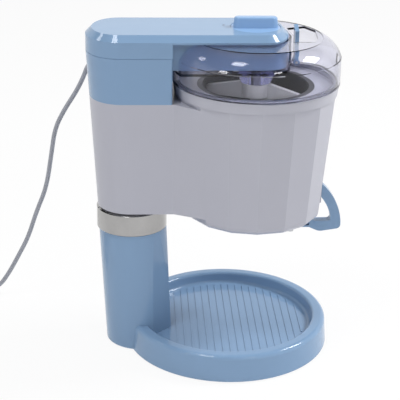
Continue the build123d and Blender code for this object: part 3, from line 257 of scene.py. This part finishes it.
LOOKS = {
    blue: ("base_tray", "stand_column", "dispense_lever", "head_lower", "head_cover", "lid_latch",
           "outlet_gate"),
    knob_lit_blue: ("switch_knob",),
    grey: ("main_housing", "bowl_shell"),
    white: ("outlet_body", "outlet_nozzle"),
    paddle_shaded_white: ("paddle",),
    rubber: ("rubber_feet",),
    steel: ("foot_screws", "neck_screws", "outlet_screws", "lever_pin", "head_screws", "motor_screws",
            "idler_axles", "spindle_shaft", "spindle_clip", "latch_pin"),
    silicone: ("outlet_seal",),
    aluminium: ("bowl_liner",),
    gel: ("coolant_gel",),
    zinc: ("drive_motor",),
    nylon: ("motor_pinion", "idler_gear_1", "idler_gear_2", "output_gear"),
    bush_brass: ("spindle_bush",),
    dark: ("switch_body", "cord_tie"),
    vinyl: ("strain_relief", "plug_body"),
    pin_brass: ("plug_pins",),
    chrome: ("chrome_ring",),
    lid_clear: ("lid",),
}
for material, names in LOOKS.items():
    for name in names:
        for slot in nodes[name].material_slots:
            slot.material = material


# Mains cord: one smooth line through the route's points and the coil's turns

CORD_RADIUS = 2.5 * MM
CORD_SIDES = 20
GLAND_POINT = Vector((-133.0, 36.0, 318.5))
GLAND_AXIS = Vector((-0.45, 0.60, -0.66)).normalized()
GLAND_LENGTH = 24.0
GLAND_RUN = 15.0
CORD_ROUTE = [
    (-155.8, 63.8, 277.5), (-164.0, 67.0, 260.5), (-177.5, 70.3, 239.0), (-188.5, 73.0, 216.5),
    (-193.5, 77.2, 185.0), (-200.5, 81.6, 143.5), (-213.0, 84.7, 113.0), (-223.5, 88.4, 80.0),
    (-236.0, 92.0, 55.0), (-247.5, 95.5, 32.5), (-260.0, 98.4, 13.0), (-277.0, 99.7, 4.4),
    (-298.0, 100.0, 3.7),
]
COIL_X = -322.0
COIL_Y = 63.0
COIL_LOW = 3.7
COIL_LAYER = 5.7
COIL_RADIUS = 37.0
COIL_STEP = 3.0
COIL_HALF_TURNS = 6
CLIMB_RADIUS = 20.0
COIL_TAIL = 26.0
HALF_TURN_POINTS = 8
SPLINE_STEPS = 6


def coil_points():
    """Control points of the coil: half turns inwards, a climb, half turns outwards and the tail."""
    points = []
    edge = Vector((COIL_X, COIL_Y + COIL_RADIUS, COIL_LOW))

    def half_turn(edge, radius, side, climb=0.0, share=1.0):
        """Adds the points of a half turn, or of its first half, and gives the place where it ends."""
        centre = edge - Vector((0, side * radius, 0))
        count = int(HALF_TURN_POINTS * share)
        swell = 1 / math.cos(math.pi * share / count / 2)
        for n in range(count):
            angle = math.pi * (side / 2 + share * (n + 0.5) / count)
            points.append(centre + Vector((radius * swell * math.cos(angle), radius * swell * math.sin(angle),
                                           climb * (n + 0.5) / count)))
        if share < 1:
            return centre + Vector((-radius, 0, climb))
        return centre + Vector((0, -side * radius, climb))

    for n in range(COIL_HALF_TURNS):
        edge = half_turn(edge, COIL_RADIUS - n * COIL_STEP, 1 if n % 2 == 0 else -1)
    edge = half_turn(edge, CLIMB_RADIUS, 1, climb=COIL_LAYER)
    for n in range(COIL_HALF_TURNS - 1):
        edge = half_turn(edge, COIL_RADIUS - (COIL_HALF_TURNS - 1 - n) * COIL_STEP, -1 if n % 2 == 0 else 1)
    edge = half_turn(edge, COIL_RADIUS, 1, share=0.5)
    points.append(edge - Vector((0, COIL_TAIL / 2, 0)))
    points.append(edge - Vector((0, COIL_TAIL, 0)))
    return points


def smooth_line(points):
    """Points along the NURBS spline that has these control points, in metres."""
    curve = bpy.data.curves.new("cord_line", "CURVE")
    curve.dimensions = "3D"
    curve.resolution_u = SPLINE_STEPS
    spline = curve.splines.new("NURBS")
    spline.points.add(len(points) - 1)
    for control, point in zip(spline.points, points):
        control.co = (*(point * MM), 1)
    spline.order_u = 3
    spline.use_endpoint_u = True
    holder = bpy.data.objects.new("cord_line", curve)
    mesh = bpy.data.meshes.new_from_object(holder)
    line = [vertex.co.copy() for vertex in mesh.vertices]
    bpy.data.objects.remove(holder)
    bpy.data.curves.remove(curve)
    bpy.data.meshes.remove(mesh)
    return line


def add_piece(name, form):
    """A new object in the scene from a finished bmesh."""
    mesh = bpy.data.meshes.new(name)
    form.to_mesh(mesh)
    form.free()
    piece = bpy.data.objects.new(name, mesh)
    scene.collection.objects.link(piece)
    return piece


def tube(name, line, radius, sides):
    """Round tube along a line, with its section carried along without twist."""
    form = bmesh.new()
    side = Vector((0, 0, 1))
    turns = [2 * math.pi * s / sides for s in range(sides)]
    rings = []
    for n, point in enumerate(line):
        ahead = (line[min(n + 1, len(line) - 1)] - line[max(n - 1, 0)]).normalized()
        side = (side - ahead * side.dot(ahead)).normalized()
        other = ahead.cross(side)
        spokes = [side * math.cos(t) + other * math.sin(t) for t in turns]
        rings.append([form.verts.new(point + spoke * radius) for spoke in spokes])
    for low, high in zip(rings, rings[1:]):
        for s in range(sides):
            face = form.faces.new((low[s], low[(s + 1) % sides], high[(s + 1) % sides], high[s]))
            face.smooth = True
    form.faces.new(reversed(rings[0]))
    form.faces.new(rings[-1])
    return add_piece(name, form)


gland_tip = GLAND_POINT + GLAND_AXIS * GLAND_LENGTH
route = [gland_tip, gland_tip + GLAND_AXIS * GLAND_RUN] + [Vector(point) for point in CORD_ROUTE]
cord_line = smooth_line(route + coil_points())
cord = tube("mains_cord", cord_line, CORD_RADIUS, CORD_SIDES)
cord.data.materials.append(vinyl)
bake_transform(cord)
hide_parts("power_cord", "cord_coil")


# Index mark on the cover, beside the knob

MARK_AT = Vector((-10.2, 5.2)) * MM
MARK_LENGTH = 4.4 * MM
MARK_WIDTH = 2.0 * MM
MARK_HEIGHT = 0.12 * MM
MARK_TURN = math.radians(70)
MARK_END_STEPS = 10


def index_mark():
    """Small dark bar with round ends, half sunk in the cover's top."""
    form = bmesh.new()
    outline = []
    radius = MARK_WIDTH / 2
    for end in (1, -1):
        reach = end * (MARK_LENGTH - MARK_WIDTH) / 2
        for n in range(MARK_END_STEPS + 1):
            angle = math.pi * (n / MARK_END_STEPS - 0.5) + (0 if end == 1 else math.pi)
            outline.append(Vector((reach + radius * math.cos(angle), radius * math.sin(angle))))
    turn = Matrix.Rotation(MARK_TURN, 2)
    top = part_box("head_cover")[1][2]
    foot = [form.verts.new((*(MARK_AT + turn @ point), top - MARK_HEIGHT / 2)) for point in outline]
    face = form.faces.new(reversed(foot))
    raised = bmesh.ops.extrude_face_region(form, geom=[face])["geom"]
    for vertex in [item for item in raised if isinstance(item, bmesh.types.BMVert)]:
        vertex.co.z += MARK_HEIGHT
    bmesh.ops.recalc_face_normals(form, faces=form.faces)
    mark = add_piece("index_mark", form)
    mark.data.materials.append(mark_blue)
    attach(mark, "head")


index_mark()


# Studio: a pale floor, white all round below a dark ceiling, and soft lamps

FLOOR_REACH = 12
FLOOR_COLOUR = (0.92, 0.92, 0.93, 1)
FLOOR_ROUGHNESS = 0.8
FLOOR_SPECULAR = 0.1
FLOOR_WHITE = 0.90
WORLD_LIGHT = 0.44
STUDIO_WHITE = 1.0
STUDIO_DARK = 0.05
STUDIO_HEIGHTS = (0.44, 0.58)
LID_AROUND = 4.5
LID_ABOVE = 0.3
LID_HEIGHTS = (0.3, 0.6)
MIDDLE = (0, 0, 0.2)
COLUMN_SIDE = (-0.1, 0, 0.15)

# Name, place, aim, size and watts of each lamp
SOFTBOXES = (
    ("top_softbox", (-0.5, -0.5, 1.85), MIDDLE, (0.42, 0.42), 7),
    ("right_softbox", (1.25, 0.25, 1.45), MIDDLE, (0.5, 0.5), 20),
    ("left_softbox", (-1.2, 0.35, 1.4), MIDDLE, (0.26, 0.26), 1.5),
    ("front_left_softbox", (-1.16, -0.94, 1.13), COLUMN_SIDE, (0.3, 0.2), 2.4),
    ("front_right_softbox", (0.6, -1.17, 1.2), COLUMN_SIDE, (0.3, 0.2), 2.4),
    ("back_softbox", (-0.1, 0.7, 1.9), MIDDLE, (1.0, 1.0), 1.5),
)


def seen_directly(tree):
    """1 where the eye, a mirror or clear plastic shows the surface, 0 where it only lights others."""
    path = add_node(tree, "ShaderNodeLightPath").outputs

    def join(operation, first, second):
        return add_node(tree, "ShaderNodeMath", {0: first, 1: second}, operation=operation).outputs[0]

    seen = join("MAXIMUM", path["Is Camera Ray"], path["Is Glossy Ray"])
    seen = join("MAXIMUM", seen, path["Is Transmission Ray"])
    return join("GREATER_THAN", seen, path["Diffuse Depth"])


def add_floor():
    """Pale floor that keeps shadows and shows nearly white. Its glow is no lamp, so it isn't sampled."""
    form = bmesh.new()
    bmesh.ops.create_grid(form, x_segments=1, y_segments=1, size=FLOOR_REACH)
    floor = add_piece("floor", form)
    material, tree, shader = new_material("floor_pale")
    shader.inputs["Base Color"].default_value = FLOOR_COLOUR
    shader.inputs["Roughness"].default_value = FLOOR_ROUGHNESS
    shader.inputs["Specular IOR Level"].default_value = FLOOR_SPECULAR
    share = add_node(tree, "ShaderNodeMath", {0: seen_directly(tree), 1: FLOOR_WHITE}, operation="MULTIPLY")
    glow = add_node(tree, "ShaderNodeEmission", {"Color": (1, 1, 1, 1), "Strength": 1.0})
    mix = add_node(tree, "ShaderNodeMixShader", {
        0: share.outputs[0], 1: shader.outputs[0], 2: glow.outputs[0]})
    tree.links.new(mix.outputs[0], tree.nodes["Material Output"].inputs["Surface"])
    material.cycles.emission_sampling = "NONE"
    floor.data.materials.append(material)


def ramp(tree, value, start, end, between=(0, 1), shape="LINEAR"):
    """Goes from start to end as the value goes between two levels."""
    return add_node(tree, "ShaderNodeMapRange", {
        "Value": value, "From Min": between[0], "From Max": between[1], "To Min": start, "To Max": end},
        interpolation_type=shape).outputs["Result"]


def add_world():
    """Plain light on the object, more for what lies under the clear lid, and the studio as it is seen."""
    world = bpy.data.worlds.new("studio")
    scene.world = world
    world.use_nodes = True
    tree = world.node_tree
    back = tree.nodes["Background"]
    back.inputs["Color"].default_value = (1, 1, 1, 1)
    ray = add_node(tree, "ShaderNodeTexCoord").outputs["Generated"]
    height = add_node(tree, "ShaderNodeSeparateXYZ", {"Vector": ray}).outputs["Z"]
    through = add_node(tree, "ShaderNodeLightPath").outputs["Is Transmission Ray"]
    under_lid = ramp(tree, height, LID_AROUND, LID_ABOVE, LID_HEIGHTS)
    light = ramp(tree, through, WORLD_LIGHT, under_lid)
    sweep = ramp(tree, height, STUDIO_WHITE, STUDIO_DARK, STUDIO_HEIGHTS, "SMOOTHSTEP")
    level = ramp(tree, seen_directly(tree), light, sweep)
    tree.links.new(level, back.inputs["Strength"])


def area_light(name, at, aim, size, power):
    lamp = bpy.data.lights.new(name, "AREA")
    lamp.shape = "RECTANGLE"
    lamp.size, lamp.size_y = size
    lamp.energy = power
    holder = bpy.data.objects.new(name, lamp)
    holder.location = at
    holder.rotation_euler = (Vector(aim) - Vector(at)).to_track_quat("-Z", "Y").to_euler()
    scene.collection.objects.link(holder)


add_floor()
add_world()
for softbox in SOFTBOXES:
    area_light(*softbox)
